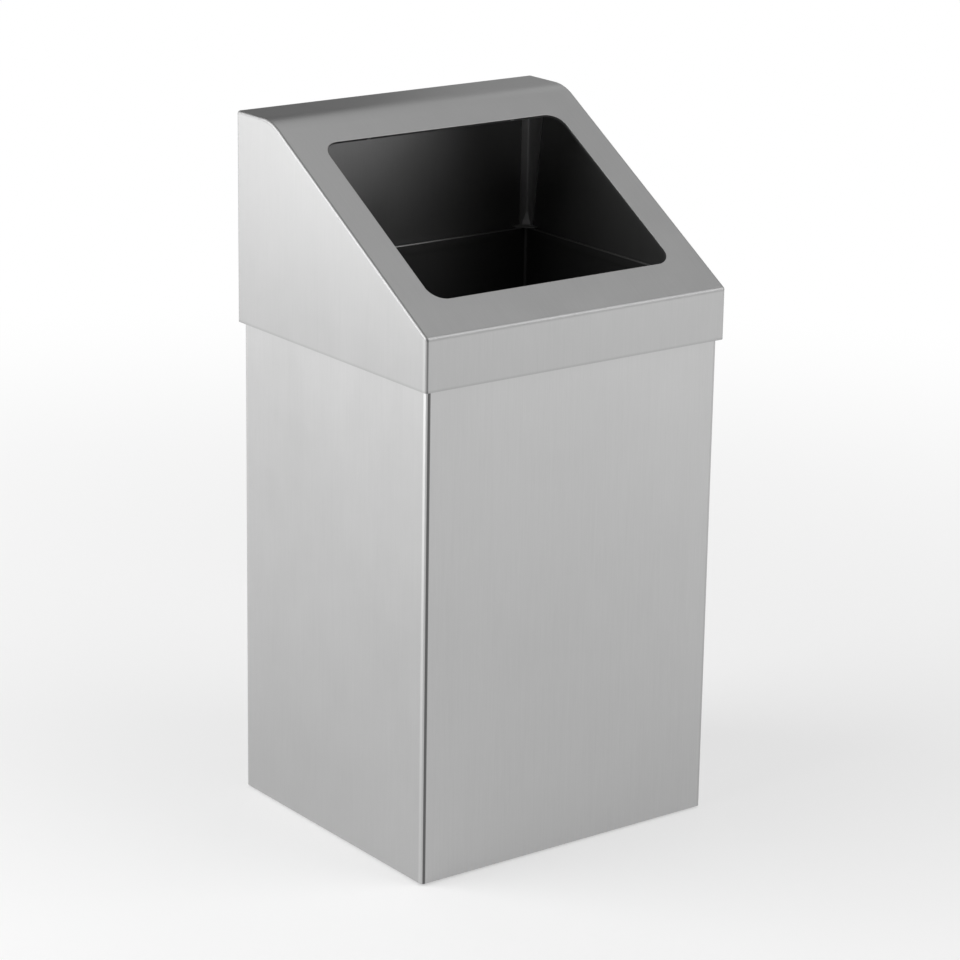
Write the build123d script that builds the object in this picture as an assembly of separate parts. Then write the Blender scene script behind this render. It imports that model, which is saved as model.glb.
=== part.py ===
from build123d import *
import math
import os

# A free-standing waste bin of folded stainless steel sheet. A rectangular body with a hemmed rim stands on four
# rubber feet. A hood with a front band, a sloped panel with a round-cornered opening, a flat top strip and an
# upright rear wall sits over the rim like a cap and lifts straight off.
# The front faces -Y, +X is to the right of somebody who faces the bin from the front, and the origin is on the
# floor under the middle of the bin. All sizes are in millimetres.

# Body walls
body_width = 330.0
body_depth = 292.0
wall_height = 516.0
body_sheet = 0.8
body_fold_radius = 3.0
floor_gap = 2.0

# Hem at the rim, folded inwards
hem_gap = 0.8
hem_drop = 9.0
hem_corner_gap = 1.2

# Seams of the rear wall, which lies inside two flanges of the side walls
rear_flange_width = 16.0
rear_lap = 8.0

# Bottom pan, a tray with its flanges turned down
pan_sheet = 1.0
pan_recess = 12.0
pan_fold_radius = 1.8
pan_corner_radius = 3.2

# Feet and their fasteners
foot_inset = 32.0
foot_tip_radius = 11.0
foot_seat_radius = 13.0
foot_edge_radius = 1.0
foot_pocket_radius = 5.5
foot_pocket_depth = 8.0
screw_radius = 2.0
screw_head_radius = 3.9
screw_head_height = 2.4
screw_head_edge = 0.8
screw_drive_radius = 1.3
screw_drive_depth = 1.4
screw_tip_proud = 1.2
screw_hole_clearance = 0.25
nut_thread_clearance = 0.05
washer_radius = 4.5
washer_thickness = 0.8
nut_across_flats = 7.0
nut_height = 3.2

# Hood
hood_overhang = 4.5
hood_sheet = 0.8
hood_fold_radius = 3.0
hood_edge_radius = 2.5
hood_edge_land = 0.5
front_band_height = 49.0
hood_height = 200.0
top_strip_depth = 56.0
crown_radius = 50.0

# Opening in the slope, with a turned-in lip whose edge is only broken
opening_side_margin = 34.0
opening_front_margin = 42.0
opening_rear_margin = 37.8
opening_corner_radius = 17.0
lip_depth = 2.6
lip_edge_radius = 0.2

# Brackets in the hood's rear corners, which stand on the rim
bracket_sheet = 1.0
bracket_corner_radius = 2.4
bracket_leg = 9.5
bracket_side_leg_top = 25.0
bracket_top_gap = 8.0
bracket_tab = 18.0
bracket_tab_tip = 5.0
bracket_gusset = 6.0
bracket_gusset_rise = 14.0

# How far the hood's tabs and the underside of its slope stand off the rim that carries them
rest_gap = 0.3

# Levels and half sizes worked out from the sizes above
rim_z = floor_gap + wall_height
pan_underside_z = floor_gap + pan_recess
pan_top_z = pan_underside_z + pan_sheet
tab_low_z = rim_z + rest_gap
tab_top_z = tab_low_z + bracket_sheet
half_width = body_width / 2
half_depth = body_depth / 2
hood_half_width = half_width + hood_overhang
hood_half_depth = half_depth + hood_overhang
hem_radius = body_sheet + hem_gap / 2
hem_thickness = 2 * hem_radius
hem_corner_cut = max(hem_thickness, body_fold_radius) + hem_corner_gap
slope_rise = hood_height - front_band_height
slope_run = 2 * hood_half_depth - top_strip_depth
slope_angle = math.atan2(slope_rise, slope_run)
slope_length = math.hypot(slope_rise, slope_run)
opening_width = 2 * (hood_half_width - opening_side_margin)
opening_length = slope_length - opening_front_margin - opening_rear_margin
opening_middle = opening_front_margin + opening_length / 2
hood_edge_depth = hood_edge_radius + hood_edge_land

# The hood hangs at the level where the underside of its slope rests on the round crest of the front hem
crest_reach = hood_overhang + hem_radius
slope_above_crest = (hem_radius + rest_gap + hood_sheet) / math.cos(slope_angle)
hood_fold_z = rim_z - hem_radius + slope_above_crest - crest_reach * math.tan(slope_angle)
hood_bottom_z = hood_fold_z - front_band_height
hood_top_z = hood_bottom_z + hood_height

# How far a cutting shape runs past what it cuts, and how close two levels must be to count as one
PAST = 5.0
LEVEL_TOLERANCE = 0.01


def upright(face, low, high):
    """A face drawn in plan, raised between two levels."""
    return Pos(0, 0, low) * extrude(face, high - low)


def hem(length):
    """A straight open hem along X. Its wall's outer face is y = 0, inwards is +Y and its crest is at z = 0."""
    crest = Circle(hem_radius) - Circle(hem_gap / 2)
    crest &= Pos(0, hem_radius) * Rectangle(2 * hem_radius, 2 * hem_radius)
    flap_height = hem_drop - hem_radius
    flap = Pos(hem_radius - body_sheet / 2, -flap_height / 2) * Rectangle(body_sheet, flap_height)
    section = Plane.YZ * Pos(hem_radius, -hem_radius) * (crest + flap)
    return extrude(section, length / 2, both=True)


def make_body_wrap():
    """Front and side walls with rear flanges and three hems, folded from one sheet."""
    outer = RectangleRounded(body_width, body_depth, body_fold_radius)
    inner = RectangleRounded(
        body_width - 2 * body_sheet, body_depth - 2 * body_sheet, body_fold_radius - body_sheet
    )
    rear_window = Pos(0, half_depth) * Rectangle(body_width - 2 * rear_flange_width, 2 * body_fold_radius)
    walls = upright(outer - inner - rear_window, floor_gap, rim_z - hem_radius)
    front_hem = Pos(0, -half_depth, rim_z) * hem(body_width - 2 * hem_corner_cut)
    side_length = body_depth - body_sheet - 2 * hem_corner_cut
    side_y = -body_sheet / 2
    left_hem = Pos(-half_width, side_y, rim_z) * Rot(0, 0, -90) * hem(side_length)
    right_hem = Pos(half_width, side_y, rim_z) * Rot(0, 0, 90) * hem(side_length)
    return walls + front_hem + left_hem + right_hem


def make_body_rear_panel():
    """Flat rear wall that lies against the inside of the rear flanges, with its own hem."""
    panel_width = body_width - 2 * (rear_flange_width - rear_lap)
    outer_y = half_depth - body_sheet
    plate = Pos(0, outer_y - body_sheet / 2) * Rectangle(panel_width, body_sheet)
    plate = upright(plate, floor_gap, rim_z - hem_radius)
    rear_hem = Pos(0, outer_y, rim_z) * Rot(0, 0, 180) * hem(panel_width)
    return plate + rear_hem


def pan_block(inset, low, high):
    """A block of the pan's plan shape with a rounded upper edge, smaller all round by an inset."""
    width = body_width - 2 * body_sheet - 2 * inset
    depth = body_depth - 3 * body_sheet - 2 * inset
    block = upright(RectangleRounded(width, depth, pan_corner_radius - inset), low, high)
    block = fillet(block.faces().sort_by(Axis.Z)[-1].edges(), pan_fold_radius - inset)
    return Pos(0, -body_sheet / 2, 0) * block


def foot_places():
    """Plan positions of the feet by name, all set in from the walls alike."""
    x = half_width - foot_inset
    y = half_depth - foot_inset
    return {
        "front_left": (-x, -y),
        "front_right": (x, -y),
        "rear_left": (-x, y),
        "rear_right": (x, y),
    }


def at_feet(piece):
    """Four copies of a piece made on the Z axis, one at each foot."""
    return Compound([Pos(x, y, 0) * piece for x, y in foot_places().values()])


def make_bottom_pan():
    """Recessed bottom sheet with down-turned flanges that reach the walls' lower edge."""
    pan = pan_block(0, floor_gap, pan_top_z)
    pan -= pan_block(pan_sheet, floor_gap - PAST, pan_underside_z)
    hole = Circle(screw_radius + screw_hole_clearance)
    for x, y in foot_places().values():
        pan -= Pos(x, y, 0) * upright(hole, pan_underside_z - PAST, pan_top_z + PAST)
    return pan


def make_foot():
    """A tapered rubber foot on the Z axis, with a pocket below for the washer and the screw head."""
    block = Pos(0, 0, pan_underside_z / 2) * Cone(foot_tip_radius, foot_seat_radius, pan_underside_z)
    block = fillet(block.edges().sort_by(Axis.Z)[0], foot_edge_radius)
    pocket = upright(Circle(foot_pocket_radius), -PAST, foot_pocket_depth)
    hole = upright(Circle(screw_radius + screw_hole_clearance), 0, pan_underside_z + PAST)
    return block - pocket - hole


def make_washer():
    """A flat washer between the screw head and the roof of the foot's pocket."""
    ring = Circle(washer_radius) - Circle(screw_radius + screw_hole_clearance)
    return upright(ring, foot_pocket_depth - washer_thickness, foot_pocket_depth)


def make_screw():
    """A pan-head screw that points up through washer, foot and pan into the nut."""
    head_top = foot_pocket_depth - washer_thickness
    head_low = head_top - screw_head_height
    head = upright(Circle(screw_head_radius), head_low, head_top)
    head = fillet(head.edges().sort_by(Axis.Z)[0], screw_head_edge)
    shank = upright(Circle(screw_radius), head_top, pan_top_z + nut_height + screw_tip_proud)
    drive = upright(RegularPolygon(screw_drive_radius, 6), head_low - PAST, head_low + screw_drive_depth)
    return head + shank - drive


def make_nut():
    """A hexagon nut on top of the pan."""
    hexagon = RegularPolygon(nut_across_flats / 2, 6, major_radius=False)
    bore = Circle(screw_radius + nut_thread_clearance)
    return upright(hexagon - bore, pan_top_z, pan_top_z + nut_height)


def hood_outline(inset, low):
    """The hood's side view as a face in Y and Z, smaller by an inset except at its open lower edge."""
    front_y = inset - hood_half_depth
    rear_y = hood_half_depth - inset
    top_z = hood_top_z - inset
    slope_drop = inset / math.cos(slope_angle)
    fold_z = hood_fold_z + inset * math.tan(slope_angle) - slope_drop
    crown_y = -hood_half_depth + (top_z - hood_fold_z + slope_drop) / math.tan(slope_angle)
    fold = (front_y, fold_z)
    crown = (crown_y, top_z)
    back = (rear_y, top_z)
    face = make_face(Polyline((front_y, low), fold, crown, back, (rear_y, low), close=True))
    for (y, z), radius in ((fold, hood_fold_radius), (crown, crown_radius), (back, hood_fold_radius)):
        face = fillet(face.vertices().sort_by_distance((y, z, 0))[0], radius - inset)
    return face


def hood_block(inset, low, near_x, far_x):
    """The hood's side view as a block between two upright planes across X."""
    return Pos(near_x, 0, 0) * extrude(Plane.YZ * hood_outline(inset, low), far_x - near_x)


def slope_plane():
    """Plane on the slope's outer face at the middle of the front fold, with its Y up the slope."""
    normal = (0, -math.sin(slope_angle), math.cos(slope_angle))
    return Plane(origin=(0, -hood_half_depth, hood_fold_z), x_dir=(1, 0, 0), z_dir=normal)


def opening_face(grow):
    """The opening's outline on the slope, larger by grow all round."""
    outline = RectangleRounded(
        opening_width + 2 * grow, opening_length + 2 * grow, opening_corner_radius + grow
    )
    return slope_plane() * Pos(0, opening_middle) * outline


def opening_edges(shell):
    """The shell's edges round the opening that lie in the slope's outer face."""
    found = []
    for edge in shell.edges():
        place = slope_plane().to_local_coords(edge.center())
        across = abs(place.X) < opening_width / 2 + LEVEL_TOLERANCE
        along = abs(place.Y - opening_middle) < opening_length / 2 + LEVEL_TOLERANCE
        if across and along and abs(place.Z) < LEVEL_TOLERANCE:
            found.append(edge)
    return found


def make_hood_shell():
    """Front band, slope, top strip and rear wall, folded from one sheet, with a lip round the opening."""
    edge_x = hood_half_width - hood_edge_depth
    shell = hood_block(0, hood_bottom_z, -edge_x, edge_x)
    shell -= hood_block(hood_sheet, hood_bottom_z - PAST, -edge_x - PAST, edge_x + PAST)
    shell += extrude(opening_face(hood_sheet), -lip_depth)
    shell -= extrude(opening_face(0), PAST, both=True)
    return fillet(opening_edges(shell), lip_edge_radius)


def cheek_block(inset, low, near_x):
    """The end of the hood's block beyond an upright plane, with its outer profile edge rounded."""
    far_x = hood_half_width - inset
    block = hood_block(inset, low, near_x, far_x)
    outer = block.faces().sort_by(Axis.X)[-1]
    rounded = [edge for edge in outer.edges() if edge.center().Z > low + LEVEL_TOLERANCE]
    return fillet(rounded, hood_edge_radius - inset)


def make_hood_side_right():
    """Right side panel, whose front, top and rear edges turn in to meet the shell."""
    edge_x = hood_half_width - hood_edge_depth
    side = cheek_block(0, hood_bottom_z, edge_x)
    return side - cheek_block(hood_sheet, hood_bottom_z - PAST, edge_x - PAST)


def bracket_angle(low, high):
    """An angle in plan with its outer corner at the origin and its legs along -X and -Y."""
    sheet = bracket_sheet
    side_end = -bracket_side_leg_top
    corners = [(0, 0), (0, side_end), (-sheet, side_end), (-sheet, -sheet), (-bracket_leg, -sheet)]
    corners.append((-bracket_leg, 0))
    face = make_face(Polyline(*corners, close=True))
    face = fillet(face.vertices().sort_by_distance((0, 0, 0))[0], bracket_corner_radius)
    inner_corner = face.vertices().sort_by_distance((-sheet, -sheet, 0))[0]
    face = fillet(inner_corner, bracket_corner_radius - sheet)
    return upright(face, low, high)


def bracket_tab_plate():
    """The flat tab that stands on the rim, with its corner at the origin in plan."""
    corners = [
        (0, 0),
        (-bracket_tab, 0),
        (-bracket_tab, -bracket_tab_tip),
        (-bracket_tab_tip, -bracket_tab),
        (0, -bracket_tab),
    ]
    face = make_face(Polyline(*corners, close=True))
    face = fillet(face.vertices().sort_by_distance((0, 0, 0))[0], bracket_corner_radius)
    return upright(face, tab_low_z, tab_top_z)


def make_rear_bracket():
    """Long bracket of the rear right corner, with a tapered side leg and a small gusset above its tab."""
    top_z = hood_top_z - hood_sheet - bracket_top_gap
    angle = bracket_angle(tab_low_z, top_z)
    past_leg = bracket_side_leg_top + PAST
    taper = Polyline(
        (-bracket_leg, tab_low_z),
        (-past_leg, tab_low_z),
        (-past_leg, top_z),
        (-bracket_side_leg_top, top_z),
        close=True,
    )
    angle -= extrude(Plane.YZ * make_face(taper), PAST, both=True)
    root = -bracket_sheet
    base = Polyline((root, root), (root - bracket_gusset, root), (root, root - bracket_gusset), close=True)
    base = Pos(0, 0, tab_top_z) * make_face(base)
    gusset = loft([base, Vertex(root, root, tab_top_z + bracket_gusset_rise)])
    bracket = angle + bracket_tab_plate() + gusset
    return Pos(hood_half_width - hood_sheet, hood_half_depth - hood_sheet, 0) * bracket


def make_parts():
    """All pieces of the bin by name."""
    parts = {
        "body_wrap": make_body_wrap(),
        "body_rear_panel": make_body_rear_panel(),
        "bottom_pan": make_bottom_pan(),
        "foot_screws": at_feet(make_screw()),
        "foot_washers": at_feet(make_washer()),
        "foot_nuts": at_feet(make_nut()),
        "hood_shell": make_hood_shell(),
    }
    for place, (x, y) in foot_places().items():
        parts["foot_" + place] = Pos(x, y, 0) * make_foot()
    handed = {"hood_side": make_hood_side_right(), "rear_bracket": make_rear_bracket()}
    for name, piece in handed.items():
        parts[name + "_right"] = piece
        parts[name + "_left"] = mirror(piece, Plane.YZ)
    return parts


os.makedirs("parts", exist_ok=True)
for part_name, part_shape in make_parts().items():
    export_step(part_shape, os.path.join("parts", part_name + ".step"))
    print(part_name, len(part_shape.solids()), round(part_shape.volume, 1))
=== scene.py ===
import math

import bpy
from bpy.props import FloatProperty, FloatVectorProperty, PointerProperty
from mathutils import Matrix, Vector


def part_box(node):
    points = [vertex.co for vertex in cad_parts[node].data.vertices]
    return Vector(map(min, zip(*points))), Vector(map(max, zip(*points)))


bl_info = {
    "name": "Hooded Waste Bin",
    "version": (1, 0, 0),
    "blender": (4, 5, 0),
    "location": "3D View > Sidebar > Waste Bin",
    "description": "Finishes a brushed steel waste bin with a lift-off hood and sets it on a pale floor",
    "category": "Object",
}

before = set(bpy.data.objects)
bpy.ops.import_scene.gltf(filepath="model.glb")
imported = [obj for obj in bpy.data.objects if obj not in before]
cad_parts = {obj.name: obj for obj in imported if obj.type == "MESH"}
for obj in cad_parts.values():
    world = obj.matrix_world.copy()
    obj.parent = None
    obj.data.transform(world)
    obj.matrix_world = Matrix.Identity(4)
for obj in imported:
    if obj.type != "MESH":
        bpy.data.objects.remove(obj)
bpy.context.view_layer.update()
MM = 0.001

# Outer shape of the sheets, in metres, from the model and from the sizes that its source gives them
BODY_HALF_WIDTH, BODY_HALF_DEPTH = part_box("body_wrap")[1][0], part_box("body_wrap")[1][1]
BODY_FOLD = 3.0 * MM
RIM_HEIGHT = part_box("body_wrap")[1][2]
HEM_CREST = RIM_HEIGHT - 1.6 * MM
PANEL_HALF_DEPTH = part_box("body_rear_panel")[1][1]
HOOD_HALF_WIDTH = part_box("hood_side_right")[1][0]
HOOD_HALF_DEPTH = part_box("hood_shell")[1][1]
HOOD_LOW, HOOD_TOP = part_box("hood_shell")[0][2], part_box("hood_shell")[1][2]
BAND_TOP = HOOD_LOW + 49.0 * MM
TOP_STRIP = 56.0 * MM
CROWN_RADIUS = 50.0 * MM
HOOD_FOLD = 3.0 * MM
HOOD_EDGE = 2.5 * MM
HOOD_RISE = HOOD_TOP - BAND_TOP
SLOPE_ANGLE = math.atan2(HOOD_RISE, 2 * HOOD_HALF_DEPTH - TOP_STRIP)

# Brush strokes per metre along each axis: the grain runs along the axis with the fewest
UPRIGHT_GRAIN = (900.0, 900.0, 12.0)
SIDEWAYS_GRAIN = (900.0, 12.0, 12.0)
MILL_GRAIN = (300.0, 60.0, 60.0)
PLATING_GRAIN = (700.0, 700.0, 700.0)

# Cells per metre along each axis of the blotches of tone and of the slow waves in the sheet
MOTTLE_CELLS = (26.0, 26.0, 20.0)
CLOUD_CELLS = (7.0, 7.0, 5.0)
WAVE_CELLS = (9.0, 9.0, 7.0)

# The finish changes between these depths under a sheet's outer face, which both lie within its thickness
INNER_DEPTH, OUTER_DEPTH = -0.55 * MM, -0.35 * MM
CREST_SOFT = 0.5 * MM

# Painted reflection along each upright bend: a dark line across it and a painted highlight line beside it;
# inside a box its bends get a painted highlight too
PAINTED_HIGHLIGHT_PLACE, PAINTED_HIGHLIGHT_HALF_WIDTH, PAINTED_HIGHLIGHT_SOFT = -3.5 * MM, 1.0 * MM, 1.3 * MM
DARK_REFLECTION_SOFT, DARK_REFLECTION_INSET, DARK_REFLECTION_TOP_SOFT = 0.9 * MM, 0.4 * MM, 2.0 * MM
INNER_BEND_HALF_WIDTH, INNER_BEND_SOFT = 1.4 * MM, 1.4 * MM

# A lower edge gets painted shade up to the first height above it and none from the second, and a front fold
# gets the whole edge finish up to the first depth behind it and none from the second
LOW_EDGE_SHADE_FULL, LOW_EDGE_SHADE_END = 0.8 * MM, 3.0 * MM
LOW_EDGE_SHADE_TONE = 0.88
FRONT_EDGE_FULL, FRONT_EDGE_END = 1.2 * MM, 2.6 * MM

# A rounded edge starts to get a darker tone, painted shade over its highlight, and more roughness this far
# before its rounding, and has all of it this far into it
EDGE_FINISH_START, EDGE_FINISH_WHOLE = -0.6 * MM, 0.8 * MM

# How much the brush strokes change the roughness, and how much the brackets' mill finish adds to it
STROKE_ROUGHNESS = 0.10
BRACKET_ROUGHNESS = 0.26


class Inside:
    """How the outer face of a sheet gives way to its dull inner face, whose darker colour is painted shade of
    the inside.

    out gives how far a point stands out of the outer face, and crest is the height above which the inner face
    keeps only crest_share of its finish.
    """

    def __init__(self, out, color, crest, crest_share):
        self.out = out
        self.color = color
        self.crest = crest
        self.crest_share = crest_share


class Bends:
    """Upright bends of a box, with a painted reflection across each.

    place, width and tone are those of the painted dark reflection line across each bend, and top is the
    height up to which it goes. The gain of the painted highlight line beside it goes from low_gain at the
    floor to top_gain at that height.
    """

    def __init__(self, half_width, half_depth, place, width, tone, top, low_gain, top_gain):
        self.half_width = half_width
        self.half_depth = half_depth
        self.place = place
        self.width = width
        self.tone = tone
        self.top = top
        self.low_gain = low_gain
        self.top_gain = top_gain


class Wire:
    """An output socket of a shader, on which Python's arithmetic adds Math nodes."""

    def __init__(self, shader, socket):
        self.shader = shader
        self.socket = socket

    def __add__(self, other):
        return self.shader.math("ADD", self, other)

    def __radd__(self, other):
        return self.shader.math("ADD", other, self)

    def __sub__(self, other):
        return self.shader.math("SUBTRACT", self, other)

    def __rsub__(self, other):
        return self.shader.math("SUBTRACT", other, self)

    def __mul__(self, other):
        return self.shader.math("MULTIPLY", self, other)

    def __rmul__(self, other):
        return self.shader.math("MULTIPLY", other, self)

    def __abs__(self):
        return self.shader.math("ABSOLUTE", self, 0.0)


class Shader:
    """Builds the node tree of a material or of the world."""

    def __init__(self, owner):
        owner.use_nodes = True
        self.tree = owner.node_tree
        self.tree.nodes.clear()

    def node(self, kind, settings=None, sockets=None, out=0):
        """Adds a node, makes its settings, then fills its sockets, and gives one of its outputs."""
        made = self.tree.nodes.new(kind)
        for name, value in (settings or {}).items():
            if name == "stops":
                self.set_stops(made.color_ramp, value)
            else:
                setattr(made, name, value)
        for name, value in (sockets or {}).items():
            if isinstance(value, Wire):
                self.tree.links.new(value.socket, made.inputs[name])
            else:
                made.inputs[name].default_value = value
        return Wire(self, made.outputs[out]) if made.outputs else None

    def set_stops(self, ramp, stops):
        """Gives a colour ramp its stops, each a place and a grey."""
        while len(ramp.elements) < len(stops):
            ramp.elements.new(1.0)
        for element, (place, grey) in zip(ramp.elements, stops):
            element.position = place
            element.color = (grey, grey, grey, 1.0)

    def math(self, operation, first, second):
        return self.node("ShaderNodeMath", {"operation": operation}, {0: first, 1: second})

    def above(self, value, floor):
        return self.math("MAXIMUM", value, floor)

    def fade(self, value, start, end, first=0.0, last=1.0):
        """Goes smoothly from first at start to last at end."""
        sockets = {"Value": value, "From Min": start, "From Max": end, "To Min": first, "To Max": last}
        return self.node("ShaderNodeMapRange", {"interpolation_type": "SMOOTHSTEP"}, sockets)

    def line(self, value, middle, half_width, soft):
        """1 within half_width of middle, and 0 from soft further out."""
        return self.fade(abs(value - middle), half_width, half_width + soft, 1.0, 0.0)

    def noise(self, place, stretch, detail=2.0, roughness=0.5, shift=(0.0, 0.0, 0.0)):
        """Noise from 0 to 1 whose cells measure one over stretch, in metres, along each axis."""
        moved = self.node("ShaderNodeMapping", None, {"Vector": place, "Scale": stretch, "Location": shift})
        sockets = {"Vector": moved, "Scale": 1.0, "Detail": detail, "Roughness": roughness}
        return self.node("ShaderNodeTexNoise", None, sockets)

    def place(self):
        """Object coordinates, and their three parts."""
        place = self.node("ShaderNodeTexCoord", None, None, "Object")
        return place, [self.node("ShaderNodeSeparateXYZ", None, {0: place}, out) for out in range(3)]

    # A Mix node takes its colours at sockets 6 and 7, and gives the mixed colour at output 2
    def multiply(self, color, tone):
        settings = {"data_type": "RGBA", "blend_type": "MULTIPLY"}
        return self.node("ShaderNodeMix", settings, {0: 1.0, 6: color, 7: tone}, 2)

    def blend(self, share, first, second):
        return self.node("ShaderNodeMix", {"data_type": "RGBA"}, {0: share, 6: first, 7: second}, 2)

    def rounded(self, first, second, radius):
        """Distance out of a corner that is rounded by radius, from the distances out of its two planes."""
        first = self.above(first + radius, 0.0)
        second = self.above(second + radius, 0.0)
        return self.math("SQRT", first * first + second * second, 0.0) - radius


def body_out(shader, x, y, z):
    """How far a point stands out of the body's outer walls."""
    return shader.rounded(abs(x) - BODY_HALF_WIDTH, abs(y) - BODY_HALF_DEPTH, BODY_FOLD)


def panel_out(shader, x, y, z):
    """How far a point stands out of the rear panel's outer face."""
    return y - PANEL_HALF_DEPTH


def hood_outline():
    """The hood's side view as stops: places from front to rear, and heights from the band's top upwards."""
    crown_y = HOOD_HALF_DEPTH - TOP_STRIP + CROWN_RADIUS * math.tan(SLOPE_ANGLE / 2)
    points = [(-HOOD_HALF_DEPTH, BAND_TOP)]
    for step in range(4):
        turn = SLOPE_ANGLE * (1 - step / 3)
        drop = CROWN_RADIUS * (1 - math.cos(turn))
        points.append((crown_y - CROWN_RADIUS * math.sin(turn), HOOD_TOP - drop))
    for step in range(4):
        turn = math.pi / 2 * step / 3
        drop = HOOD_FOLD * (1 - math.cos(turn))
        points.append((HOOD_HALF_DEPTH - HOOD_FOLD * (1 - math.sin(turn)), HOOD_TOP - drop))
    depth = 2 * HOOD_HALF_DEPTH
    return [((y + HOOD_HALF_DEPTH) / depth, (z - BAND_TOP) / HOOD_RISE) for y, z in points]


def hood_over(shader, y, z):
    """How far a point stands above the hood's slope and top, measured square to the slope."""
    along = (y + HOOD_HALF_DEPTH) * (1 / (2 * HOOD_HALF_DEPTH))
    height = shader.node("ShaderNodeValToRGB", {"stops": hood_outline()}, {0: along})
    return (z - (height * HOOD_RISE + BAND_TOP)) * math.cos(SLOPE_ANGLE)


def hood_out(shader, x, y, z):
    """How far a point stands out of the hood's slope, top and upright sides."""
    over = shader.above(hood_over(shader, y, z), abs(y) - HOOD_HALF_DEPTH)
    return shader.rounded(abs(x) - HOOD_HALF_WIDTH, over, HOOD_EDGE)


def hood_edges(shader, x, y, z):
    """1 on the rounded edges of the hood's slope, top and front fold, and 0 on its flats."""
    start, end = EDGE_FINISH_START - HOOD_EDGE, EDGE_FINISH_WHOLE - HOOD_EDGE
    top = shader.fade(hood_over(shader, y, z), start, end)
    side = shader.fade(abs(x) - HOOD_HALF_WIDTH, start, end)
    front = shader.fade(y + HOOD_HALF_DEPTH, FRONT_EDGE_FULL, FRONT_EDGE_END, 1.0, 0.0)
    return top * shader.above(side, front)


def brushed_steel(
    name, look, color, grain, inside=None, bends=None, low_edge=None, edges=None, more_rough=0.0
):
    """Satin steel whose fine grain runs along the axis on which grain is low, in strokes per metre.

    low_edge is the height of a lower edge along which a darker strip is painted as shade. edges gives the
    share of the
    edge finish that rounded edges have: a darker tone that is painted shade over their highlight, and more
    roughness. more_rough is added to the roughness.
    """
    material = bpy.data.materials.new(name)
    shader = Shader(material)
    place, (x, y, z) = shader.place()
    fine_grain = [3.0 * count for count in grain]
    strokes = shader.noise(place, grain, detail=4.0, roughness=0.65)
    lines = shader.noise(place, fine_grain, detail=3.0, roughness=0.6, shift=(3.1, 1.7, 0.4))
    mottle = shader.noise(place, MOTTLE_CELLS, detail=4.0, roughness=0.6)
    cloud = shader.noise(place, CLOUD_CELLS, detail=2.0, shift=(0.7, 2.3, 5.1))
    wave = shader.noise(place, WAVE_CELLS, detail=1.0, shift=(5.0, 1.0, 2.0))
    tone = 1.0 + (strokes - 0.5) * look.grain_contrast + (lines - 0.5) * look.grain_contrast
    tone = tone + (mottle - 0.5) * look.mottle + (cloud - 0.5) * look.mottle
    rough = look.roughness + more_rough + (strokes - 0.5) * STROKE_ROUGHNESS + (mottle - 0.5) * look.smudge
    tint = (*color, 1.0)
    metal = 1.0
    if inside:
        # Inner faces: a duller, rougher finish, and a darker colour that is painted shade inside the box
        dull = shader.fade(inside.out(shader, x, y, z), INNER_DEPTH, OUTER_DEPTH, 1.0, 0.0)
        dull = dull * shader.fade(z, inside.crest, inside.crest + CREST_SOFT, 1.0, inside.crest_share)
        tint = shader.blend(dull, tint, (*inside.color, 1.0))
        rough = rough + dull * (look.inside_roughness - look.roughness)
        metal = 1.0 - dull * look.inside_dullness
    if bends:
        # 0 in the middle of each bend, and growing towards the front and the rear
        across = (bends.half_width - abs(x)) - (bends.half_depth - abs(y))
        # The front left bend gets the whole painted reflection and highlight, the other bends only
        # other_bends of it
        left = shader.fade(x, -bends.half_width / 2, 0.0, 1.0, 0.0)
        front = shader.fade(y, -bends.half_depth / 2, 0.0, 1.0, 0.0)
        share = look.other_bends + left * front * (1.0 - look.other_bends)
        share = shader.fade(z, bends.top - DARK_REFLECTION_TOP_SOFT, bends.top, 1.0, 0.0) * share
        half_line = bends.width / 2 - DARK_REFLECTION_INSET
        # Painted reflection: a dark line across the bend, and beside it a painted highlight line that is
        # stronger higher up
        painted_dark_reflection = shader.line(across, bends.place, half_line, DARK_REFLECTION_SOFT) * share
        bright = shader.line(across, PAINTED_HIGHLIGHT_PLACE, PAINTED_HIGHLIGHT_HALF_WIDTH, PAINTED_HIGHLIGHT_SOFT) * share
        painted_highlight_gain = shader.fade(z, 0.0, bends.top, bends.low_gain, bends.top_gain)
        tone = tone * (1.0 - painted_dark_reflection * (1.0 - bends.tone)) + bright * painted_highlight_gain
    if inside and bends:
        # Painted highlight on the inner faces along each bend
        inner = shader.line(across, 0.0, INNER_BEND_HALF_WIDTH, INNER_BEND_SOFT)
        tone = tone + dull * inner * look.inner_bend_highlight
    if low_edge:
        # Painted shade: a darker strip along the lower edge
        low_edge_shade = shader.fade(z, low_edge + LOW_EDGE_SHADE_FULL, low_edge + LOW_EDGE_SHADE_END, LOW_EDGE_SHADE_TONE, 1.0)
        tone = tone * low_edge_shade
    if edges:
        # Painted shade on the rounded edges, a darker tone that dims their highlight, with more roughness
        shaded_and_rough = edges(shader, x, y, z)
        tone = tone * (1.0 - shaded_and_rough * (1.0 - look.edge_shade_tone))
        rough = rough + shaded_and_rough * look.edge_roughness
    height = strokes * 0.6 + lines * 0.4 + wave * (look.waviness / look.grain_depth)
    bump = shader.node(
        "ShaderNodeBump", None, {"Strength": 1.0, "Distance": look.grain_depth, "Height": height}
    )
    color = shader.multiply(tint, tone)
    sockets = {"Base Color": color, "Metallic": metal, "Roughness": rough, "Normal": bump}
    surface = shader.node("ShaderNodeBsdfPrincipled", None, sockets)
    shader.node("ShaderNodeOutputMaterial", None, {"Surface": surface})
    return material


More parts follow.
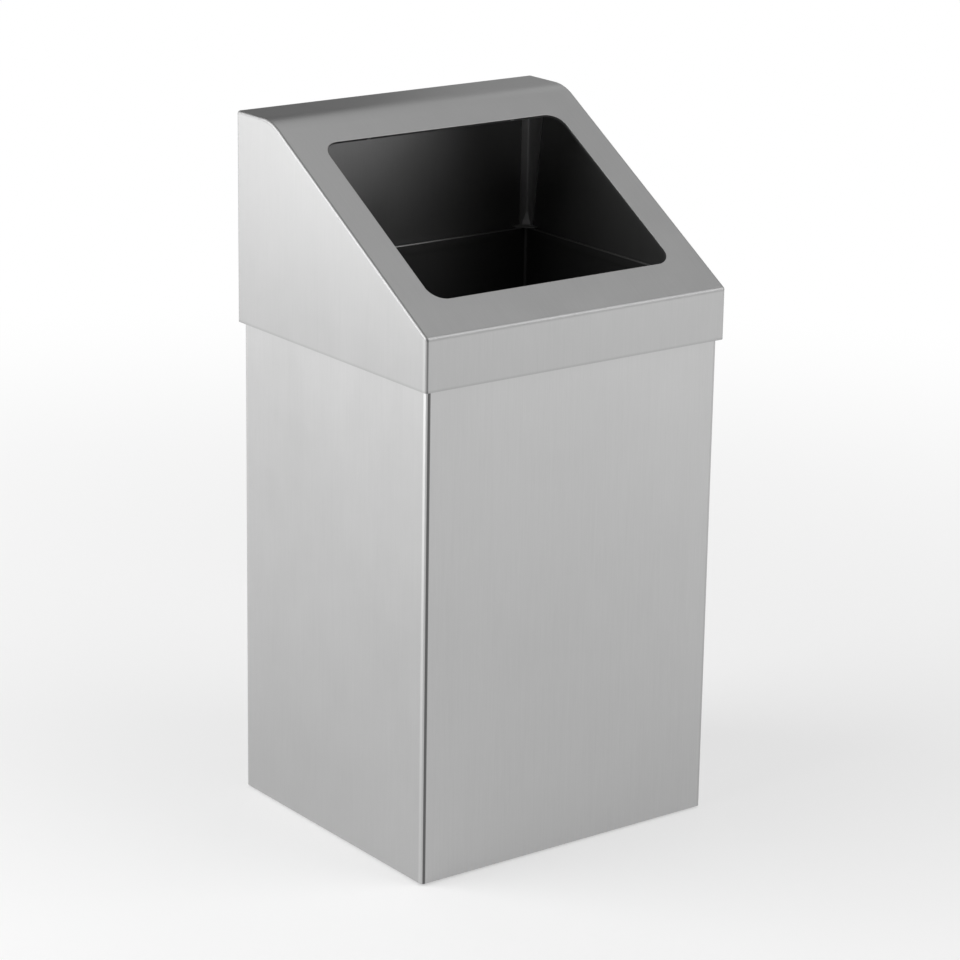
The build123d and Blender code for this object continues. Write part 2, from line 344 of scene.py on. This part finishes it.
def rubber(name, look):
    """Matt black moulded rubber with a fine speckle."""
    material = bpy.data.materials.new(name)
    shader = Shader(material)
    place, _ = shader.place()
    speckle = shader.noise(place, (900.0, 900.0, 900.0), detail=3.0)
    dust = shader.noise(place, (60.0, 60.0, 60.0), detail=4.0, roughness=0.7)
    tint = shader.multiply((*look.color, 1.0), 0.8 + speckle * 0.3 + dust * 0.3)
    bump = shader.node("ShaderNodeBump", None, {"Strength": 0.5, "Distance": 0.1 * MM, "Height": speckle})
    rough = 0.62 + (dust - 0.5) * 0.2
    sockets = {"Base Color": tint, "Roughness": rough, "Normal": bump}
    surface = shader.node("ShaderNodeBsdfPrincipled", None, sockets)
    shader.node("ShaderNodeOutputMaterial", None, {"Surface": surface})
    return material


def dress(nodes, material):
    """Gives CAD nodes a material in place of their plain one."""
    for name in nodes:
        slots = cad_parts[name].data.materials
        slots.clear()
        slots.append(material)


class SteelLook(bpy.types.PropertyGroup):
    """Finish of the steel sheets and of the fasteners, and the light and shade painted on the sheets"""

    body_color: FloatVectorProperty(
        name="Body colour", description="Mirror colour of the body's steel", default=(0.50, 0.50, 0.50),
        subtype="COLOR", min=0.0, max=1.0,
    )
    hood_color: FloatVectorProperty(
        name="Hood colour", description="Mirror colour of the hood's steel", default=(0.44, 0.44, 0.44),
        subtype="COLOR", min=0.0, max=1.0,
    )
    # Darker inner colour: painted shade inside the hood, also used for the bottom pan
    inside_color: FloatVectorProperty(
        name="Inside colour", description="Mirror colour of the hood's dull inner faces",
        default=(0.19, 0.19, 0.19), subtype="COLOR", min=0.0, max=1.0,
    )
    # Darker inner colour: painted shade inside the body
    body_inside_color: FloatVectorProperty(
        name="Body inside colour", description="Mirror colour of the body's dull inner faces",
        default=(0.14, 0.14, 0.14), subtype="COLOR", min=0.0, max=1.0,
    )
    bracket_color: FloatVectorProperty(
        name="Bracket colour", description="Mirror colour of the brackets", default=(0.48, 0.48, 0.48),
        subtype="COLOR", min=0.0, max=1.0,
    )
    zinc_color: FloatVectorProperty(
        name="Zinc colour", description="Mirror colour of the plated fasteners", default=(0.62, 0.63, 0.66),
        subtype="COLOR", min=0.0, max=1.0,
    )
    roughness: FloatProperty(
        name="Roughness", description="How far the steel blurs what it mirrors", default=0.36, min=0.05,
        max=1.0, subtype="FACTOR",
    )
    inside_roughness: FloatProperty(
        name="Inside roughness", description="The same on the inner faces", default=0.36, min=0.05, max=1.0,
        subtype="FACTOR",
    )
    inside_dullness: FloatProperty(
        name="Inside dullness", description="Share of dull grey film on the inner faces",
        default=0.25, min=0.0, max=1.0, subtype="FACTOR",
    )
    # The hem's crest keeps this share of the inner finish, its painted shade included
    hem_dullness: FloatProperty(
        name="Hem dullness", description="Share of the inner finish on the hem's crest",
        default=0.50, min=0.0, max=1.0, subtype="FACTOR",
    )
    # Tone of the painted shade that dims the highlight on the hood's rounded edges
    edge_shade_tone: FloatProperty(
        name="Edge tone", description="Tone of the hood's rubbed edges", default=0.86, min=0.0, max=1.0,
        subtype="FACTOR",
    )
    edge_roughness: FloatProperty(
        name="Edge roughness", description="Added roughness of the hood's rubbed edges",
        default=0.12, min=0.0, max=1.0, subtype="FACTOR",
    )
    grain_contrast: FloatProperty(
        name="Grain contrast", description="Tone between brush lines", default=0.10, min=0.0, max=1.0,
        subtype="FACTOR",
    )
    grain_depth: FloatProperty(
        name="Grain depth", description="Depth of the brush lines", default=0.03 * MM, precision=5,
        unit="LENGTH",
    )
    mottle: FloatProperty(
        name="Mottling", description="Soft blotches of tone left by handling", default=0.06, min=0.0, max=1.0,
        subtype="FACTOR",
    )
    smudge: FloatProperty(
        name="Smudges", description="Change of roughness in the blotches", default=0.10, min=0.0, max=1.0,
        subtype="FACTOR",
    )
    waviness: FloatProperty(
        name="Waviness", description="Height of the slow waves in the sheet", default=0.15 * MM, precision=5,
        unit="LENGTH",
    )
    # Darkness of the painted dark reflection line across the body's bends
    body_line: FloatProperty(
        name="Body line", description="Tone of the burnished line along the body's bends",
        default=0.26, min=0.0, max=1.0, subtype="FACTOR",
    )
    # Darkness of the painted dark reflection line across the hood's bends
    hood_line: FloatProperty(
        name="Hood line", description="Tone of the burnished line along the hood's bends",
        default=0.50, min=0.0, max=1.0, subtype="FACTOR",
    )
    # Gain of the painted highlight on the inner faces along the bends
    inner_bend_highlight: FloatProperty(
        name="Inner bends", description="Gain of the inner faces where the sheet is bent",
        default=1.3, min=0.0,
    )
    # The other bends get this share of the painted reflection and highlight lines
    other_bends: FloatProperty(
        name="Other bends", description="Share of the lines that the other bends than the front left one get",
        default=0.12, min=0.0, max=1.0, subtype="FACTOR",
    )


class RubberLook(bpy.types.PropertyGroup):
    """Finish of the feet"""

    color: FloatVectorProperty(
        name="Colour", description="Colour of the rubber", default=(0.022, 0.022, 0.023), subtype="COLOR",
        min=0.0, max=1.0,
    )


class StudioLook(bpy.types.PropertyGroup):
    """Where the camera stands, and how bright the stage is"""

    azimuth: FloatProperty(
        name="Azimuth", description="Turn of the camera round the bin", default=math.radians(-36.8653),
        subtype="ANGLE",
    )
    elevation: FloatProperty(
        name="Elevation", description="Rise of the camera above the floor", default=math.radians(17.1521),
        subtype="ANGLE",
    )
    roll: FloatProperty(
        name="Roll", description="Tilt of the picture", default=math.radians(0.9144), subtype="ANGLE",
    )
    distance: FloatProperty(
        name="Distance", description="From the camera to the aim point", default=3.18766, unit="LENGTH",
    )
    aim_height: FloatProperty(
        name="Aim height", description="Height of the aim point", default=0.332, unit="LENGTH",
    )
    aim_right: FloatProperty(
        name="Aim right", description="How far the aim is moved right in the picture", default=0.002647,
        unit="LENGTH",
    )
    aim_down: FloatProperty(
        name="Aim down", description="How far the aim is moved down in the picture", default=0.010215,
        unit="LENGTH",
    )
    lens: FloatProperty(
        name="Lens", description="Focal length on a 36 mm sensor", default=126.98, unit="CAMERA",
    )
    floor_color: FloatVectorProperty(
        name="Floor colour", description="Colour of the pale floor", default=(0.92, 0.92, 0.92),
        subtype="COLOR", min=0.0, max=1.0,
    )
    shadow_near: FloatProperty(
        name="Shadow near", description="Distance within which the floor keeps its whole shadow",
        default=0.25, unit="LENGTH",
    )
    shadow_far: FloatProperty(
        name="Shadow far", description="Distance from which the floor is plain white", default=2.0,
        unit="LENGTH",
    )
    white_near: FloatProperty(
        name="White near", description="Share of plain white in the floor near the bin", default=0.50,
        min=0.0, max=1.0, subtype="FACTOR",
    )
    room_grey: FloatProperty(
        name="Room grey", description="Grey of the room round the stage", default=0.12, min=0.0, max=1.0,
        subtype="FACTOR",
    )


class BIN_OT_body_walls(bpy.types.Operator):
    """Brushes the body's walls with upright grain"""

    bl_idname = "bin.body_walls"
    bl_label = "Body walls"

    def execute(self, context):
        look = context.scene.bin_steel
        inside = Inside(body_out, look.body_inside_color, HEM_CREST, look.hem_dullness)
        # The body's bends get a painted dark reflection line and a painted highlight line
        bends = Bends(
            half_width=BODY_HALF_WIDTH,
            half_depth=BODY_HALF_DEPTH,
            place=2.3 * MM,
            width=3.1 * MM,
            tone=look.body_line,
            top=RIM_HEIGHT,
            low_gain=0.14,
            top_gain=0.44,
        )
        walls = brushed_steel("brushed_walls", look, look.body_color, UPRIGHT_GRAIN, inside, bends)
        inside = Inside(panel_out, look.body_inside_color, HEM_CREST, look.hem_dullness)
        panel = brushed_steel("brushed_rear_panel", look, look.body_color, UPRIGHT_GRAIN, inside)
        dress(("body_wrap",), walls)
        dress(("body_rear_panel",), panel)
        return {"FINISHED"}


class BIN_OT_hood_sheets(bpy.types.Operator):
    """Brushes the hood's shell and side panels along their folds"""

    bl_idname = "bin.hood_sheets"
    bl_label = "Hood sheets"

    def execute(self, context):
        look = context.scene.bin_steel
        inside = Inside(hood_out, look.inside_color, HOOD_TOP, 1.0)
        # The hood's bends get a painted dark reflection line and a painted highlight line
        bends = Bends(
            half_width=HOOD_HALF_WIDTH,
            half_depth=HOOD_HALF_DEPTH,
            place=1.5 * MM,
            width=2.0 * MM,
            tone=look.hood_line,
            top=BAND_TOP,
            low_gain=0.10,
            top_gain=0.10,
        )
        for name, grain, nodes in (
            ("brushed_hood_shell", SIDEWAYS_GRAIN, ("hood_shell",)),
            ("brushed_hood_sides", UPRIGHT_GRAIN, ("hood_side_left", "hood_side_right")),
        ):
            steel = brushed_steel(name, look, look.hood_color, grain, inside, bends, HOOD_LOW, hood_edges)
            dress(nodes, steel)
        return {"FINISHED"}


class BIN_OT_plain_sheets(bpy.types.Operator):
    """Gives the bottom pan and the corner brackets their mill finish"""

    bl_idname = "bin.plain_sheets"
    bl_label = "Pan and brackets"

    def execute(self, context):
        look = context.scene.bin_steel
        # The pan takes the darker inner colour, painted shade inside the body
        dress(("bottom_pan",), brushed_steel("dull_pan", look, look.inside_color, MILL_GRAIN))
        mill = brushed_steel(
            "mill_brackets", look, look.bracket_color, MILL_GRAIN, more_rough=BRACKET_ROUGHNESS
        )
        dress([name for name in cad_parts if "bracket" in name], mill)
        return {"FINISHED"}


class BIN_OT_feet(bpy.types.Operator):
    """Gives the four feet their rubber and their fasteners a zinc plating"""

    bl_idname = "bin.feet"
    bl_label = "Feet"

    def execute(self, context):
        scene = context.scene
        feet = [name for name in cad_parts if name.startswith(("foot_front", "foot_rear"))]
        dress(feet, rubber("foot_rubber", scene.bin_rubber))
        look = scene.bin_steel
        plating = brushed_steel("zinc_plating", look, look.zinc_color, PLATING_GRAIN)
        dress(("foot_screws", "foot_washers", "foot_nuts"), plating)
        return {"FINISHED"}


# Soft boxes: name, place, aim, width, height and power in watts
LAMPS = (
    ("left_low", (-1.6, 0.9, 0.8), (0.0, 0.0, 0.4), 1.8, 1.4, 16.0),
    ("left_high", (-1.7, 0.6, 1.6), (0.0, 0.0, 0.4), 2.2, 1.6, 26.0),
    ("front_right_low", (1.6, -1.9, 1.1), (0.0, 0.0, 0.4), 2.2, 1.8, 15.8),
    ("front_right_high", (1.0, -1.5, 2.0), (0.0, 0.0, 0.3), 1.8, 1.8, 17.4),
    ("right_overhead", (1.6, 0.2, 2.4), (0.0, 0.0, 0.4), 3.2, 2.4, 11.0),
    ("overhead", (0.0, 0.0, 2.5), (0.0, 0.0, 0.0), 2.2, 2.2, 4.0),
    ("rear_right", (1.3, 1.8, 0.9), (0.0, 0.0, 0.5), 1.4, 1.2, 0.45),
    ("rear_right_close", (0.95, 0.85, 1.15), (0.0, 0.0, 0.6), 0.7, 0.7, 0.38),
)


class BIN_OT_stage(bpy.types.Operator):
    """Makes the pale floor, the soft lamps, the grey room and the camera"""

    bl_idname = "bin.stage"
    bl_label = "Stage"

    def execute(self, context):
        look = context.scene.bin_studio
        self.make_floor(look)
        self.make_world(context.scene, look)
        for lamp in LAMPS:
            self.make_lamp(*lamp)
        self.make_camera(context.scene, look)
        context.scene.view_settings.view_transform = "Standard"
        return {"FINISHED"}

    def make_floor(self, look):
        bpy.ops.object.select_all(action="DESELECT")
        bpy.ops.mesh.primitive_plane_add(size=24.0, location=(0.0, 0.0, 0.0))
        floor = bpy.context.object
        floor.name = "floor"
        material = bpy.data.materials.new("pale_floor")
        shader = Shader(material)
        surface = shader.node(
            "ShaderNodeBsdfPrincipled", None, {"Base Color": (*look.floor_color, 1.0), "Roughness": 0.9}
        )
        place, _ = shader.place()
        reach = shader.node("ShaderNodeVectorMath", {"operation": "LENGTH"}, {0: place}, "Value")
        white = shader.fade(reach, look.shadow_near, look.shadow_far, look.white_near, 1.0)
        glow = shader.node("ShaderNodeEmission", None, {"Color": (1.0, 1.0, 1.0, 1.0), "Strength": 1.0})
        sockets = {0: self.seen_directly(shader) * white, 1: surface, 2: glow}
        surface = shader.node("ShaderNodeMixShader", None, sockets)
        shader.node("ShaderNodeOutputMaterial", None, {"Surface": surface})
        floor.data.materials.append(material)

    def seen_directly(self, shader):
        """1 for rays from the camera, off glossy surfaces and through clear ones, so that they agree."""
        camera = shader.node("ShaderNodeLightPath", None, None, "Is Camera Ray")
        glossy = shader.node("ShaderNodeLightPath", None, None, "Is Glossy Ray")
        through = shader.node("ShaderNodeLightPath", None, None, "Is Transmission Ray")
        return shader.above(shader.above(camera, glossy), through)

    def make_world(self, scene, look):
        world = bpy.data.worlds.new("room")
        scene.world = world
        shader = Shader(world)
        grey = (look.room_grey, look.room_grey, look.room_grey, 1.0)
        surface = shader.node("ShaderNodeBackground", None, {"Color": grey, "Strength": 1.0})
        shader.node("ShaderNodeOutputWorld", None, {"Surface": surface})

    def make_lamp(self, name, place, aim, width, height, power):
        """A soft box at a place, turned towards an aim point."""
        bpy.ops.object.light_add(type="AREA", location=place)
        lamp = bpy.context.object
        lamp.name = name
        lamp.data.shape = "RECTANGLE"
        lamp.data.size = width
        lamp.data.size_y = height
        lamp.data.energy = power
        lamp.rotation_euler = (Vector(aim) - Vector(place)).to_track_quat("-Z", "Y").to_euler()

    def make_camera(self, scene, look):
        turn, rise, roll = look.azimuth, look.elevation, look.roll
        right = Vector((math.cos(turn), math.sin(turn), 0.0))
        back = Vector((math.sin(turn) * math.cos(rise), -math.cos(turn) * math.cos(rise), math.sin(rise)))
        up = back.cross(right)
        rolled_right = right * math.cos(roll) + up * math.sin(roll)
        rolled_up = up * math.cos(roll) - right * math.sin(roll)
        place = Vector((0.0, 0.0, look.aim_height)) + back * look.distance
        place += rolled_right * look.aim_right - rolled_up * look.aim_down
        bpy.ops.object.camera_add()
        camera = bpy.context.object
        camera.name = "camera"
        facing = Matrix((rolled_right, rolled_up, back)).transposed().to_4x4()
        camera.matrix_world = Matrix.Translation(place) @ facing
        camera.data.sensor_width = 36.0
        camera.data.lens = look.lens
        scene.camera = camera


class BIN_PT_panel(bpy.types.Panel):
    """Steps that finish the bin"""

    bl_label = "Waste Bin"
    bl_space_type = "VIEW_3D"
    bl_region_type = "UI"
    bl_category = "Waste Bin"

    def draw(self, context):
        for step in STEPS:
            self.layout.operator(step.bl_idname)


LOOKS = (SteelLook, RubberLook, StudioLook)
STEPS = (BIN_OT_body_walls, BIN_OT_hood_sheets, BIN_OT_plain_sheets, BIN_OT_feet, BIN_OT_stage)
SETTINGS = {"bin_steel": SteelLook, "bin_rubber": RubberLook, "bin_studio": StudioLook}


def register():
    for cls in (*LOOKS, *STEPS, BIN_PT_panel):
        bpy.utils.register_class(cls)
    for name, group in SETTINGS.items():
        setattr(bpy.types.Scene, name, PointerProperty(type=group))


def unregister():
    for name in SETTINGS:
        delattr(bpy.types.Scene, name)
    for cls in reversed((*LOOKS, *STEPS, BIN_PT_panel)):
        bpy.utils.unregister_class(cls)


def main():
    register()
    bpy.ops.bin.body_walls()
    bpy.ops.bin.hood_sheets()
    bpy.ops.bin.plain_sheets()
    bpy.ops.bin.feet()
    bpy.ops.bin.stage()


if __name__ == "__main__":
    main()
